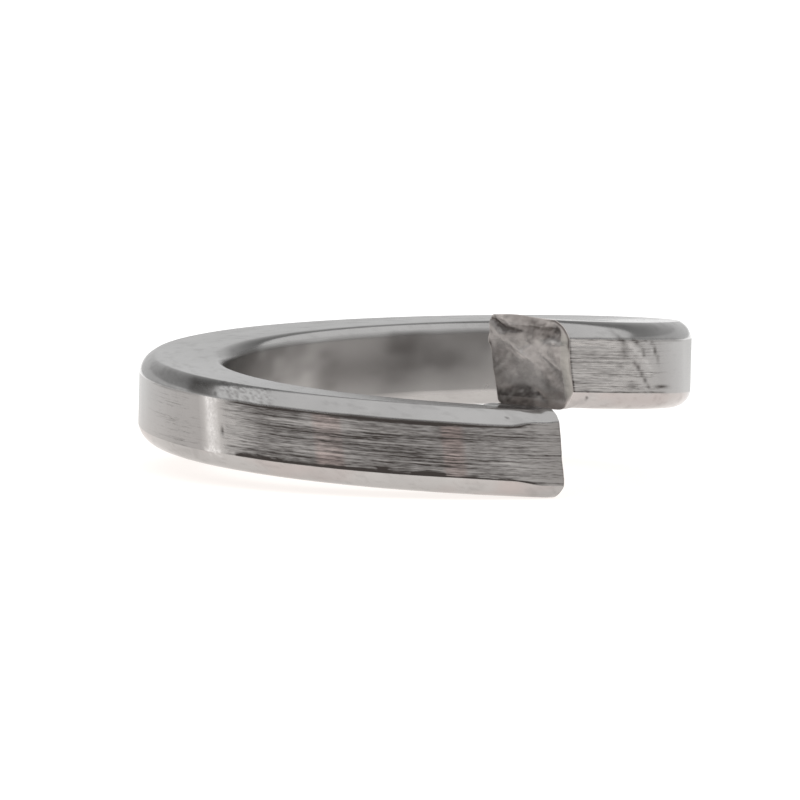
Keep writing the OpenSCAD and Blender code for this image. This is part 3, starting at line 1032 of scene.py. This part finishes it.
@dataclass
class Studio:
    """A pale floor, a softbox that lights it, and studio walls that only the metal sees."""

    size: float
    height: float
    # The camera: distance in washer widths, tilt, roll about its own axis, lens, and aim off the middle, mm.
    camera_turns: float = 20.0
    elevation: float = 5.055
    roll: float = 1.41
    lens: float = 496.0
    aim_right: float = -0.78
    aim_up: float = -0.75
    floor_r: float = 6000.0
    wall_r: float = 3000.0
    # The softbox: its height, and how far in front it hangs, its width and its depth as shares of that.
    lamp_high: float = 900.0
    lamp_front: float = 0.65
    lamp_wide: float = 3.2
    lamp_deep: float = 2.3
    soft_light: float = 1.0
    # The canopy: its grey, slope and skew of its back edge, and how softly that ends, as a share of wall_r.
    canopy_light: float = 0.93
    canopy_back: float = 0.62
    canopy_skew: float = 0.10
    canopy_edge: float = 0.03
    paper: str = "#7F7E7D"
    paper_white: str = "#FFFFFF"
    paper_warm: str = "#FFF9F5"
    # Distances behind the middle between which the paper turns from warm to white, in washer widths.
    warm_end: float = 0.3
    white_start: float = 1.5
    floor_glow: float = 0.88
    # Elevation of the dado's top and how softly it ends, in degrees.
    dado_top: float = 13.5
    dado_edge: float = 1.2
    # Grey of the walls by azimuth, below and above the dado's top, and how they darken by elevation.
    dado: Rows = (
        (-180, 0.68), (-156, 0.62), (-136, 0.66), (-112, 0.76), (-84, 0.64), (-66, 0.25), (-48, 0.20),
        (-32, 0.16), (-16, 0.12), (0, 0.12), (16, 0.16), (32, 0.21), (58, 0.32), (72, 0.46), (96, 0.50),
        (112, 0.54), (136, 0.58), (152, 0.62), (180, 0.68))
    cove: Rows = (
        (-180, 0.68), (-166, 0.60), (-148, 0.46), (-134, 0.40), (-106, 0.31), (0, 0.31), (106, 0.31),
        (134, 0.40), (148, 0.46), (166, 0.60), (180, 0.68))
    fall: Rows = ((0, 1.0), (20, 1.0), (30, 0.80), (45, 0.50), (60, 0.65), (90, 0.8))

    def lamp(self) -> None:
        """Hangs the softbox, which lights the floor and isn't seen by the camera or the metal."""
        high = self.lamp_high
        light = bpy.data.lights.new("softbox", "AREA")
        light.shape = "RECTANGLE"
        light.size, light.size_y = self.lamp_wide * high * MM, self.lamp_deep * high * MM
        light.energy = self.soft_light * math.pi * light.size * light.size_y
        made = bpy.data.objects.new("softbox", light)
        down = Vector((0, 0, -1)).to_track_quat("-Z", "Y").to_matrix().to_4x4()
        made.matrix_world = Matrix.Translation(Vector((0, -self.lamp_front * high, high)) * MM) @ down
        made.visible_camera = made.visible_glossy = False
        show(made)

    def floor_finish(self) -> Material:
        """Matt white paper, kept white for the camera and for what the metal shows, shadow included.

        Returns:
            The material.
        """
        material, tree = blank_material("matt_white_paper")
        add = partial(add_node, tree)
        path = add("LightPath")
        seen = add("Math", {0: path.outputs["Is Camera Ray"], 1: path.outputs["Is Glossy Ray"]},
                   operation="MAXIMUM")
        seen = add("Math", {0: seen, 1: path.outputs["Is Transmission Ray"]}, operation="MAXIMUM")
        level = add("Math", {0: seen, 1: self.floor_glow}, operation="MULTIPLY")
        paper = add("BsdfDiffuse", {"Color": linear(self.paper)})
        # The paper is a little warm in front of the washer and under it, and pure white behind.
        axes = add("SeparateXYZ", {0: add("TexCoord").outputs["Object"]})
        far = add("MapRange", {"Value": axes.outputs["Y"], "From Min": self.warm_end * self.size * MM,
                               "From Max": self.white_start * self.size * MM})
        white = add("Mix", {"Factor": far, "A": linear(self.paper_warm), "B": linear(self.paper_white)},
                    data_type="RGBA")
        glow = add("Emission", {"Color": white.outputs["Result"], "Strength": level})
        add("OutputMaterial", {"Surface": add("AddShader", {0: paper, 1: glow})})
        return material

    def wall_finish(self) -> Material:
        """Studio walls: a dado, dark behind the camera, a cove, and a white canopy in front.

        Returns:
            The material.
        """
        material, tree = blank_material("studio_wall_paint")
        add, reach = partial(add_node, tree), self.wall_r * MM
        axes = add("SeparateXYZ", {0: add("TexCoord").outputs["Object"]})
        behind = add("Math", {0: axes.outputs["Y"], 1: -1.0}, operation="MULTIPLY")
        azimuth = add("Math", {0: axes.outputs["X"], 1: behind}, operation="ARCTAN2")
        around = add("MapRange", {"Value": azimuth, "From Min": -math.pi, "From Max": math.pi})
        up = add("MapRange", {"Value": axes.outputs["Z"], "From Min": 0.0, "From Max": reach})
        dado, cove, fall = (add("ValToRGB", {0: value}) for value in (around, around, up))
        for ramp, stops in ((dado, [((a + 180) / 360, grey) for a, grey in self.dado]),
                            (cove, [((a + 180) / 360, grey) for a, grey in self.cove]),
                            (fall, [(math.sin(math.radians(e)), grey) for e, grey in self.fall])):
            elements = ramp.color_ramp.elements
            while len(elements) < len(stops):
                elements.new(0.5)
            for element, (at, grey) in zip(elements, stops):
                element.position, element.color = at, (grey, grey, grey, 1)
        plain = add("VectorMath", {0: cove, 1: fall}, operation="MULTIPLY")
        # The canopy hangs over the camera's side and ends a little behind the washer.
        past = add("Math", {0: axes.outputs["Z"], 1: self.canopy_back, 2: behind}, operation="MULTIPLY_ADD")
        past = add("Math", {0: axes.outputs["X"], 1: self.canopy_skew, 2: past}, operation="MULTIPLY_ADD")
        under = add("MapRange", {"Value": past, "From Min": -self.canopy_edge * reach,
                                 "From Max": self.canopy_edge * reach})
        above = add("Mix", {"Factor": under, "A": plain, "B": (*[self.canopy_light] * 3, 1)},
                    data_type="RGBA")
        low, high = (math.sin(math.radians(self.dado_top + way * self.dado_edge)) for way in (-1, 1))
        step = add("MapRange", {"Value": up, "From Min": low, "From Max": high})
        paint = add("Mix", {"Factor": step, "A": dado, "B": above.outputs["Result"]}, data_type="RGBA")
        glow = add("Emission", {"Color": paint.outputs["Result"], "Strength": 1.0})
        add("OutputMaterial", {"Surface": glow})
        return material

    def disc(self) -> Object:
        """Makes the floor.

        Returns:
            A disc under the washer's lowest edge.
        """
        around = np.radians(np.arange(0, 360, 3))
        mesh = bpy.data.meshes.new("floor")
        rim = [(self.floor_r * MM * math.cos(a), self.floor_r * MM * math.sin(a), CAD_LOW.z) for a in around]
        mesh.from_pydata(rim, [], [list(range(len(rim)))])
        mesh.materials.append(self.floor_finish())
        return bpy.data.objects.new("floor", mesh)

    def dome(self) -> Object:
        """Makes the walls.

        Returns:
            A half dome that the camera looks through.
        """
        rings, sides = 24, 96
        e, a = np.meshgrid(np.linspace(0, np.pi / 2, rings + 1)[:-1], np.linspace(0, 2 * np.pi, sides, False),
                           indexing="ij")
        points = self.wall_r * MM * np.stack([np.cos(e) * np.cos(a), np.cos(e) * np.sin(a), np.sin(e)], -1)
        number = np.arange(rings * sides).reshape(rings, sides)
        after = np.roll(number, -1, 1)
        faces = np.stack([number[:-1], after[:-1], after[1:], number[1:]], -1).reshape(-1, 4).tolist()
        mesh = bpy.data.meshes.new("studio_walls")
        mesh.from_pydata(points.reshape(-1, 3).tolist(), [], [*faces, number[-1].tolist()])
        mesh.materials.append(self.wall_finish())
        made = bpy.data.objects.new("studio_walls", mesh)
        made.visible_camera = made.visible_shadow = made.visible_diffuse = False
        return made

    def camera(self) -> None:
        """Sets the long-lens camera, a little above the floor and turned slightly about its own axis."""
        data = bpy.data.cameras.new("camera")
        data.lens, data.sensor_width, data.clip_end = self.lens, 36.0, 50.0
        made = bpy.data.objects.new("camera", data)
        e = math.radians(self.elevation)
        back = Vector((0, -math.cos(e), math.sin(e)))
        turn = (-back).to_track_quat("-Z", "Y").to_matrix() @ Matrix.Rotation(math.radians(self.roll), 3, "Z")
        target = Vector((0, 0, self.height / 2)) + turn @ Vector((self.aim_right, self.aim_up, 0))
        made.matrix_world = Matrix.Translation(
            (target + back * self.size * self.camera_turns) * MM) @ turn.to_4x4()
        show(made)
        bpy.context.scene.camera = made

    def build(self) -> None:
        """Makes the floor, walls, lamp, plain world and camera."""
        for piece in (self.disc(), self.dome()):
            show(piece)
        self.lamp()
        world = bpy.data.worlds.new("white_backdrop")
        bpy.context.scene.world = world
        world.use_nodes = True
        world.node_tree.nodes["Background"].inputs["Color"].default_value = WHITE
        world.node_tree.nodes["Background"].inputs["Strength"].default_value = 1.0
        bpy.context.scene.view_settings.view_transform = "Standard"
        self.camera()


def main() -> None:
    """Builds the washer and its studio."""
    logging.basicConfig(level=logging.INFO, format="%(name)s: %(message)s")
    bore = next(mount for mount in frame["record"]["mounts"] if mount["name"] == "bore")
    low, high = CAD_LOW / MM, CAD_HIGH / MM
    coil = Coil(bore_r=bore["dims"]["r_mm"], outer_r=(high.x - low.x) / 2, free_height=high.z - low.z)
    Studio(size=2 * coil.outer_r, height=coil.free_height).build()
    LOG.info("studio: floor, walls, softbox and camera")
    washer = SpringWasher(coil).build((DrawnStainless().make(), TornStainless().make()))
    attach(washer, "root")
    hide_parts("washer")
    washer.data.calc_loop_triangles()
    LOG.info("washer_steel: %d triangles", len(washer.data.loop_triangles))


if __name__ == "__main__":
    main()
